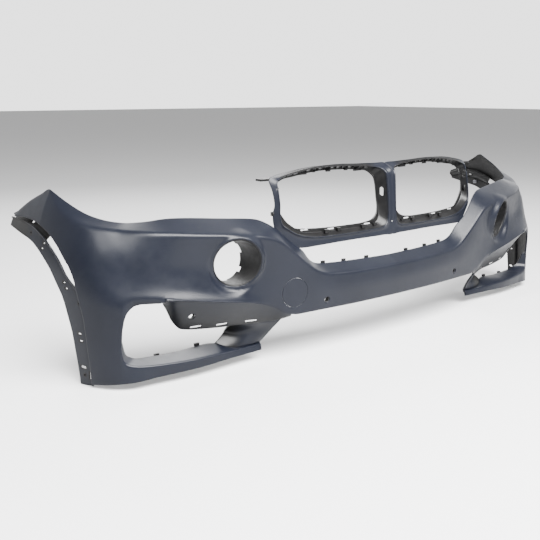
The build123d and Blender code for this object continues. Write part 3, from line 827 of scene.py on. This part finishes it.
half = half_skin()
shape_fog_rim(half)
half.cut(ring_cut(fog_plane, FOG_CUT))
half.cut(ring_cut(sensor_plane, SENSOR_R + HOLE_CLEAR))
half.cut(ring_cut(outer_plane, SENSOR_R + HOLE_CLEAR))
for u, z in PANEL_SLOTS:
    half.cut(slot_cut(u, z, SLOT_WIDE, SLOT_HIGH))
full = half.doubled()
full.weld()
cover = Sheet()
cover.add(full)
full.cut(ring_cut(tow_plane, TOW_R + EDGE_R / 2, -1))
beyond_cover = ring_cut(tow_plane, TOW_R - TOW_SEAM, -1)
cover.cut(lambda p, s: -beyond_cover(p, s))
cover.hem(0.7, 1.0)
full.hem(EDGE_R, hem_depth)
SKIN_NODES = ["centre_beam", "intake_shelf"]
SIDED = (
    "side_body", "shoulder", "corner", "wing", "wing_top", "sensor_panel", "vent_pillar", "lower_lip",
    "lip_shelf",
)
for base in SIDED:
    SKIN_NODES += [f"{base}_left", f"{base}_right"]
piece("front_skin", full, [primer, raw], nodes=SKIN_NODES)
piece("tow_cover_face", cover, [primer, raw], body="tow_cover", nodes=["tow_eye_cover"])

# The cover's gooseneck arm, on a level plane through its hinge pin: along the cover, then rearward.
ARM = [
    (1.5, 1), (4.2, 5.3), (6.6, 7.4), (12.3, 8), (16.2, 4.4), (16.2, -6.8), (18.8, -6.8), (18.8, 5.6),
    (13.4, 10.7), (5.4, 10), (1.8, 6.7), (-1.5, 1),
]
ARM_HALF, HUB_R = 6, 4
HINGE_OUT, HINGE_BACK = 49, 10       # the pin, from the cover's centre
tow_centre, tow_right, _, tow_normal = tow_plane
pin = tow_centre - tow_right * HINGE_OUT * MM - tow_normal * HINGE_BACK * MM


def prism(sheet, outline):
    """Adds a closed upright prism over an outline on the hinge's level plane, with eased edges."""
    middle = np.mean(outline, axis=0)
    rings = []
    for height, size in ((-ARM_HALF, 0.93), (-ARM_HALF + 0.5, 1.0), (ARM_HALF - 0.5, 1.0), (ARM_HALF, 0.93)):
        places = [middle + (np.array(point) - middle) * size for point in outline]
        lift = np.array((0, 0, height * MM))
        rings.append([pin + (tow_right * along - tow_normal * back) * MM + lift for along, back in places])
    sheet.stack(rings)


arm = Sheet()
prism(arm, ARM)
prism(arm, [(HUB_R * cos(radians(10 * k)), HUB_R * sin(radians(10 * k))) for k in range(36)])
piece("tow_cover_arm", arm, [raw, raw], body="tow_cover", slot="black_plastic", wall=0)


def both_sides(name, sheet, nodes=(), **kind):
    """The +X piece and its mirror image."""
    left = [f"{n}_left" for n in nodes]
    right = [f"{n}_right" for n in nodes]
    piece(f"{name}_left", sheet, nodes=left, **kind)
    piece(f"{name}_right", sheet.mirrored(), nodes=right, **kind)


# ---------------------------------------------------------------- arch flange
FLANGE_HOLES = [(1190, 203), (978, 55), (972, -130)]
FLANGE_SLOTS = [
    (1120, 186, 10, 5), (1128, 172, 10, 5), (1030, 100, 10, 5), (1022, 86, 10, 5),
    (983, -24, 12, 5), (979, -42, 12, 5), (976, -110, 18, 8), (955, -129, 5, 20),
]
FLANGE_STEP = 6


def along_rows(rows, count):
    """Points spread along a line of rows, smooth in every column."""
    rows = np.array(rows, float)
    marks = run(rows[:, 0], rows[:, 1])
    spots = np.linspace(0, marks[-1], count)
    return np.stack([smooth(list(zip(marks, rows[:, k])))(spots) for k in range(rows.shape[1])], -1)


flange = Sheet()
outer_row, inner_row = along_rows(ARCH, 220), along_rows(FLANGE, 220)
shares = np.concatenate([np.linspace(0, 1, 24), [1.0, 1.01, 1.05]])
rises = np.concatenate([np.zeros(23), [0.6, 2.4, 3.6, 3.6]]) - FLANGE_STEP
spots = outer_row[:, None, :] + (inner_row - outer_row)[:, None, :] * shares[None, :, None]
relief = wing_relief(spots[..., 0], spots[..., 1]) + rises
top_end = ease((spots[..., 0] - 1170) / 60)
flange.grid(skin(spots[..., 0], spots[..., 1], relief), spots[..., 0], spots[..., 1], 0.95 - 0.8 * top_end)
for u, z in FLANGE_HOLES:
    flange.cut(round_cut(u, z, 3.4))
for u, z, wide, high in FLANGE_SLOTS:
    flange.cut(slot_cut(u, z, wide, high))
for u, z, wide, high in FLANGE_SLOTS + [(u, z, 7, 7) for u, z in FLANGE_HOLES]:
    clear = slot_cut(u, z, wide, high)(flange.points, flange.spots)
    flange.spots[:, 2] *= np.clip(clear / 5, 0, 1)
flange.flip()
flange.hem(0.8, 2.0)
both_sides("arch_flange", flange, nodes=["arch_flange"], slot="black_plastic", materials=[primer, raw])

# ---------------------------------------------------------------- fog-lamp duct
DUCT_DEPTH = 62
DUCT_R, MOUTH_R = 62.6, 64.4
LAMP_SLOTS = [(40, 26, 7), (100, 14, 10), (155, 30, 6), (215, 16, 9), (275, 26, 7), (330, 18, 9)]
duct = Sheet()
angles = np.linspace(0, 2 * pi, 121)
centre, right, up, normal = fog_plane
ring = np.cos(angles)[:, None] * right + np.sin(angles)[:, None] * up
rim = centre + ring * DUCT_R * MM
mouth = centre + ring * MOUTH_R * MM + normal * 2.0 * MM
shares = np.concatenate([[0.0], np.linspace(0.01, 1, 36)])
shrink = 1 - 0.05 * shares
tube = (rim - centre)[:, None, :] * shrink[None, :, None] + centre
rear_y = tube[:, :, 1].mean() + DUCT_DEPTH * MM
tube[..., 1] += (rear_y - tube[..., 1]) * shares
tube = np.concatenate([mouth[:, None, :], tube], axis=1)
depths = np.concatenate([[-2.0], shares * DUCT_DEPTH])
duct.grid(tube, angles[:, None] * 60, depths, np.clip(0.95 - 0.8 * ease((depths - 14) / 40), 0, 1))
duct.flip()
duct.weld(1e-5)
for turn, wide, deep in LAMP_SLOTS:
    duct.cut(slot_cut(radians(turn) * 60, DUCT_DEPTH, wide, 2 * deep))
both_sides("fog_duct", duct, nodes=["fog_lamp_duct"], materials=[primer, raw], wall=2.0)

# ---------------------------------------------------------------- bracket behind the air slot
BRACKET_LOW = [(1118, 194), (1150, 206), (1195, 216), (1240, 222), (1270, 224), (1314, 214)]
BRACKET_HIGH = [(1106, 226), (1145, 239), (1190, 250), (1240, 251), (1270, 252), (1314, 240)]
bracket = Sheet()
low_row, high_row = along_rows(BRACKET_LOW, 80), along_rows(BRACKET_HIGH, 80)
shares = np.linspace(0, 1, 20)
spots = low_row[:, None, :] + (high_row - low_row)[:, None, :] * shares[None, :, None]
relief = wing_relief(spots[..., 0], spots[..., 1]) - 13 + 4 * np.cos(shares * 2 * pi)
bracket.grid(skin(spots[..., 0], spots[..., 1], relief), spots[..., 0], spots[..., 1], 0.1)
bracket.cut(lambda p, s: np.hypot(np.maximum(np.abs(s[:, 0] - 1205) - 4, 0), s[:, 1] - 231) - 4.5)
bracket.hem(0.8, 3.0)
both_sides(
    "wing_bracket", bracket, nodes=["wing_bracket"], slot="black_plastic",
    materials=[primer, raw], wall=1.8)

# ---------------------------------------------------------------- grille surround
# Each row holds matching places across the surround: the opening's edge, the bead and the outer edge,
# as (x, height), then the set-back of each and how much of the way to the bead is a flat channel.
SURROUND = [
    ((104, 192), (98, 171), (94, 152), (24, 3, 5), 0.55),
    ((68, 197), (45, 173), (34, 152), (24, 3, 5), 0.5),
    ((47, 211), (24, 182), (0, 152), (25, 3, 5), 0.4),
    ((38, 231), (16, 203), (0, 178), (28, 2, 4), 0.25),
    ((34, 262), (15, 245), (0, 225), (34, 1, 2), 0.15),
    ((34, 294), (16, 294), (0, 292), (36, 1, 2), 0.15),
    ((37, 314), (18, 330), (0, 336), (38, 3, 2), 0.15),
    ((44, 325), (27, 344), (0, 357), (42, 16, 25), 0.2),
    ((66, 337), (58, 350), (50, 359), (44, 24, 27), 0.3),
    ((122, 343), (120, 356), (118, 361), (46, 24, 27), 0.3),
    ((176, 345), (176, 358), (176, 363), (46, 24, 27), 0.3),
    ((232, 345), (234, 358), (236, 362), (46, 24, 27), 0.3),
    ((283, 340), (290, 354), (295, 359), (46, 24, 27), 0.3),
    ((326, 334), (336, 347), (345, 352), (44, 23, 26), 0.3),
    ((360, 329), (378, 337), (394, 343), (42, 20, 26), 0.3),
    ((381, 318), (397, 326), (413, 333), (38, 14, 26), 0.3),
    ((387, 300), (399, 301), (411, 302), (30, 8, 16), 0.3),
    ((388, 272), (399, 269), (410, 268), (26, 5, 12), 0.3),
    ((387, 250), (401, 240), (416, 241), (26, 4, 14), 0.35),
    ((378, 234), (396, 214), (414, 206), (26, 3, 12), 0.45),
    ((365, 217), (375, 198), (396, 187), (26, 3, 9), 0.5),
    ((350, 205), (352, 185), (366, 160), (25, 3, 7), 0.5),
    ((334, 197), (322, 176), (340, 148), (24, 3, 6), 0.55),
    ((280, 193), (278, 171), (277, 149), (24, 3, 5), 0.55),
    ((222, 191), (228, 170), (212, 151), (24, 3, 5), 0.55),
    ((150, 191), (150, 170), (150, 152), (24, 3, 5), 0.55),
]
TOP_ROWS = (7, 14)
BEAD_WIDE, BEAD_PROUD = 3.2, 1.5


def closed_curve(rows, count):
    """A smooth closed curve through rows, evenly shared between them."""
    rows = np.array(rows, float)
    n = len(rows)
    where = np.linspace(0, n, count + 1)
    i = np.floor(where).astype(int) % n
    t = (where - np.floor(where))[:, None]
    p0, p1, p2, p3 = (rows[(i + k) % n] for k in (-1, 0, 1, 2))
    square = 2 * p0 - 5 * p1 + 4 * p2 - p3
    cube = 3 * p1 - p0 - 3 * p2 + p3
    return 0.5 * (2 * p1 + (p2 - p0) * t + square * t ** 2 + cube * t ** 3), where


def surround_front(x, z):
    """Depth of the grille surround's front, leaning back and bowed in plan."""
    return 18 + 0.00018 * x * x + 0.1 * (z - 200)


table = [[*a, *b, *c, *d, e] for a, b, c, d, e in SURROUND]
loop, where = closed_curve(table, 416)
inner, bead, outer = (loop[:, k:k + 2] for k in (0, 2, 4))
outer[:, 0] = np.maximum(outer[:, 0], 0)
back_in, back_bead, back_out, flat = loop[:, 6], loop[:, 7], loop[:, 8], loop[:, 9]
on_top = ease((where - TOP_ROWS[0]) / 1.5) * (1 - ease((where - TOP_ROWS[1] + 0.5) / 1.5))
levels, backs, paints = [], [], []
# From the opening's edge to the bead: the place across (up to 1 on the flat channel, then on the slope),
# the share of the drop to the bead's set-back, and how far the edge is rolled back.
for share, drop, lift in (
    (0, 0, 2.0), (0.04, 0, 0.6), (0.2, 0, 0), (0.6, 0, 0), (0.9, 0, 0),
    (1.0, 0.04, 0), (1.08, 0.16, 0), (1.3, 0.5, 0), (1.5, 0.8, 0), (1.6, 0.93, 0),
):
    across = np.where(share <= 1, flat * share, flat + (1 - flat) * (share - 1) / 0.68)
    levels.append(inner + (bead - inner) * across[:, None])
    backs.append(back_in + (back_bead + 2 - back_in) * drop + lift)
    paints.append((0.12 + 0.5 * max(0, share - 1.2)) * (1 - on_top))
# The bead itself, from just inside it to its outer foot.
outward_step = np.minimum(1.0, BEAD_WIDE / np.maximum(np.linalg.norm(outer - bead, axis=1), 1))
inward_step = BEAD_WIDE / np.maximum(np.linalg.norm(inner - bead, axis=1), 1)
for reach, rise in ((-0.55, 1.2), (0.0, 0.0), (0.55, 0.5), (1.2, 2.2), (2.0, 3.2)):
    if reach < 0:
        levels.append(bead + (inner - bead) * (inward_step * -reach)[:, None])
    else:
        levels.append(bead + (outer - bead) * (outward_step * reach / 2)[:, None])
    backs.append(back_bead - BEAD_PROUD + rise)
    paints.append(1.0 - 0.8 * on_top)
# From the bead to the outer edge.
foot = back_bead - BEAD_PROUD + 3.2
for share in (0.35, 0.6, 0.85, 1.0):
    place = outward_step + (1 - outward_step) * share
    levels.append(bead + (outer - bead) * place[:, None])
    backs.append(foot + (back_out - foot) * share)
    paints.append(1.0 - 0.65 * on_top)
levels, backs = np.stack(levels, 1), np.stack(backs, 1)
x, z = levels[..., 0], levels[..., 1]
surround = Sheet()
points = placed(x, surround_front(x, z) + backs, z)
surround.grid(points, where[:, None], np.linspace(0, 1, x.shape[1]), np.stack(paints, 1))
surround.weld(1e-5)


def box_cut(low, high):
    """A field that is negative inside a box given in millimetres."""
    low, high = (placed(*corner) for corner in (low, high))
    return lambda p, s: np.max(np.maximum(low - p, p - high), axis=1)


# Notches: the middle (x, z), half the width, the reach down and up, and the nearest and farthest depth.
NOTCHES = [
    (84, 189, 13, 4.5, 1.5, 10, 40), (221, 188, 13, 4.5, 1.5, 10, 40), (312, 193, 13, 4.5, 1.5, 10, 40),
    (33, 276, 14, 14, 14, 14, 27), (389, 300, 14, 12, 12, 12, 22),
    (95, 342, 11, 2, 9, 30, 42), (292, 338, 11, 2, 9, 30, 42),
]
for x, z, half_x, down, up, near, far in NOTCHES:
    y = surround_front(x, z)
    surround.cut(box_cut((x - half_x, y + near, z - down), (x + half_x, y + far, z + up)))
whole = surround.doubled()
whole.weld()
whole.cut(lambda p, s: np.hypot(p[:, 0], p[:, 2]) - CENTRE_HOLE_R * MM)
whole.hem(0.8, 1.2)
SURROUND_NODES = ["grille_lower_band", "grille_pillar", "grille_pillar_cap", "grille_top_bar"]
SURROUND_NODES += ["grille_flank_left", "grille_flank_right", "grille_stem_left", "grille_stem_right"]
piece("grille_surround", whole, [primer, raw], nodes=SURROUND_NODES, wall=2.4)


# ---------------------------------------------------------------- ribs and tabs of the upper grille bar
TOP_LINE = [(0, 346), (60, 347), (174, 351), (245, 351), (295, 348), (345, 341), (384, 331)]
top_line = smooth(TOP_LINE)


def block(sheet, low, high):
    """Adds a closed block with slightly drawn-in front faces, between two corners in millimetres."""
    (x0, y0, z0), (x1, y1, z1) = low, high
    inset = 0.12 * min(x1 - x0, z1 - z0)
    ring = [(x0, z0), (x1, z0), (x1, z1), (x0, z1)]
    middle = ((x0 + x1) / 2, (z0 + z1) / 2)
    rings = []
    for y, draw in ((y1, 0.0), (y0 + inset, 0.0), (y0, inset)):
        rings.append([
            placed(x + draw * np.sign(middle[0] - x), y, z + draw * np.sign(middle[1] - z)) for x, z in ring])
    sheet.stack(rings)


RIB_PITCH = 21
bar_ribs = Sheet()
for step in range(18):
    x = 30 + RIB_PITCH * (step + 0.5) - 2
    if x < 388:
        z = float(top_line(x))
        y = surround_front(x, z) + 30
        block(bar_ribs, (x - 1.3, y, z - 3), (x + 1.3, y + 20, z + 6))
RIBS = [(95, 30, 5), (140, 12, 3), (205, 16, 4), (255, 10, 3), (292, 26, 5), (335, 14, 4), (372, 12, 4)]
for x, wide, drop in RIBS:
    z = float(top_line(x))
    y = surround_front(x, z) + 40
    block(bar_ribs, (x - wide / 2, y, z - 5 - drop), (x + wide / 2, y + 5, z - 2))
piece("upper_bar_ribs", bar_ribs.doubled(), [dark, dark], slot="black_plastic", wall=0)

# the foot of each outer stem, where it clips behind the shoulder
stem_foot = Sheet()
y = float(surround_front(414, 246)) + 12
block(stem_foot, (396, y, 238), (416, y + 12, 249))
block(stem_foot, (392, y - 2, 244), (402, y + 8, 262))
both_sides("stem_foot", stem_foot, materials=[dark, dark], slot="black_plastic", wall=0)

# the tab at each end of the upper bar, with its screw hole
TAB_HOLE_R = 3.3
tab = Sheet()
across, back = np.linspace(400, 439, 14)[:, None], surround_front(404, 330) + np.linspace(28, 50, 9)
tab.grid(placed(across, back, 336), across, back, 0.0)
tab.cut(round_cut(427, surround_front(404, 330) + 41, TAB_HOLE_R))
tab.hem(1.0, 5.0)
both_sides(
    "grille_end_tab_skin", tab, nodes=["grille_end_tab"], slot="black_plastic",
    materials=[dark, dark], wall=1.6)

# ---------------------------------------------------------------- outer parking-sensor holders
def turned(plane, profile, count=48):
    """A ring turned about a plane's normal from a closed profile of (radius, depth) points."""
    centre, right, up, normal = plane
    angles = np.linspace(0, 2 * pi, count + 1)
    rows = np.array(profile + profile[:1], float)
    ring = np.cos(angles)[:, None] * right + np.sin(angles)[:, None] * up
    points = centre + (ring[:, None, :] * rows[None, :, :1] - normal * rows[None, :, 1:]) * MM
    sheet = Sheet()
    sheet.grid(points, angles[:, None] * 10, rows[:, 1], 0.0)
    sheet.weld(1e-5)
    return sheet


HOLDER = [(9.0, 3.6), (12.6, 3.6), (13.4, 4.4), (13.4, 8.2), (12.8, 9.0), (9.4, 9.0), (9.0, 8.6)]
both_sides(
    "outer_sensor_ring", turned(outer_plane, HOLDER), nodes=["outer_sensor_holder"], slot="black_plastic",
    materials=[dark, dark], wall=0)

# ---------------------------------------------------------------- carried-over CAD nodes
STEEL_NODES = ("tow_hinge_pin", "flange_spring_nuts_left", "flange_spring_nuts_right")
for name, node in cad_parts.items():
    if node.hide_render or name == "tow_eye_cover":
        continue
    look = steel if name in STEEL_NODES else dark
    if not node.data.materials:
        node.data.materials.append(look)
    for place in node.material_slots:
        place.material = look
    bevel = node.modifiers.new("edges", "BEVEL")
    bevel.width = 0.5 * MM
    bevel.segments = 2
    bevel.limit_method = "ANGLE"

# ---------------------------------------------------------------- camera, light and floor
camera_data = bpy.data.cameras.new("camera")
camera_data.lens = 50
camera_data.clip_end = 100
camera = bpy.data.objects.new("camera", camera_data)
bpy.context.scene.collection.objects.link(camera)
camera.location = placed(-1648.73, -1466.66, 555.98)
CAMERA_AZ, CAMERA_EL = radians(-38.57), radians(13.265)
forward = Vector((-sin(CAMERA_AZ) * cos(CAMERA_EL), cos(CAMERA_AZ) * cos(CAMERA_EL), -sin(CAMERA_EL)))
camera.rotation_euler = forward.to_track_quat("-Z", "Y").to_euler()
bpy.context.scene.camera = camera

FLOOR = CAD_BOX[0][2] - 0.0005       # metres, just under the part
FLOOR_HALF = 30
corners = [(-1, -1), (1, -1), (1, 1), (-1, 1)]
floor_mesh = bpy.data.meshes.new("floor")
floor_mesh.from_pydata([(x * FLOOR_HALF, y * FLOOR_HALF, FLOOR) for x, y in corners], [], [(0, 1, 2, 3)])
floor = bpy.data.objects.new("floor", floor_mesh)
bpy.context.scene.collection.objects.link(floor)
floor_material, _, floor_shader = new_material("floor")
floor_shader.inputs["Base Color"].default_value = (0.42, 0.42, 0.423, 1)
floor_shader.inputs["Roughness"].default_value = 0.9
floor_mesh.materials.append(floor_material)
floor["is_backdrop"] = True

world = bpy.data.worlds.new("studio")
bpy.context.scene.world = world
world.use_nodes = True


SKY_AWAY = (0.62, 0.78, 0)      # roughly the way the camera looks, seen from above
SKY_NEAR, SKY_FAR, SKY_TOP = 0.30, 2.6, 0.7


def studio_sky(tree):
    """A soft studio: bright overhead and behind the object, dimmer round the photographer."""
    place = tree.nodes.new("ShaderNodeTexCoord")
    split = tree.nodes.new("ShaderNodeSeparateXYZ")
    tree.links.new(place.outputs["Generated"], split.inputs[0])
    away = tree.nodes.new("ShaderNodeVectorMath")
    away.operation = "DOT_PRODUCT"
    away.inputs[1].default_value = SKY_AWAY
    tree.links.new(place.outputs["Generated"], away.inputs[0])
    level = ramp(tree, away.outputs["Value"], -0.6, 0.8, SKY_NEAR, SKY_FAR)
    above = ramp(tree, split.outputs["Z"], 0.25, 0.8)
    total = tree.nodes.new("ShaderNodeMix")
    tree.links.new(above, total.inputs["Factor"])
    tree.links.new(level, total.inputs["A"])
    total.inputs["B"].default_value = SKY_TOP
    tree.links.new(total.outputs["Result"], tree.nodes["Background"].inputs["Strength"])
    tree.nodes["Background"].inputs["Color"].default_value = (1, 1, 1, 1)


studio_sky(world.node_tree)


def area_light(name, place, aim, size, power):
    """A rectangular lamp in metres and watts, turned towards a point."""
    data = bpy.data.lights.new(name, "AREA")
    data.shape = "RECTANGLE"
    data.size, data.size_y = size
    data.energy = power
    light = bpy.data.objects.new(name, data)
    light.location = place
    light.rotation_euler = (Vector(aim) - Vector(place)).to_track_quat("-Z", "Y").to_euler()
    bpy.context.scene.collection.objects.link(light)


area_light("top", (-0.4, -1.7, 2.2), (-0.1, 0.1, -0.1), (3.0, 1.8), 1250)
area_light("side", (-2.6, -0.8, 1.9), (-0.7, 0.2, -0.1), (0.8, 1.4), 90)
area_light("back", (0.9, 2.6, 1.7), (0, 0.2, -0.1), (2.6, 1.2), 130)

low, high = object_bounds()
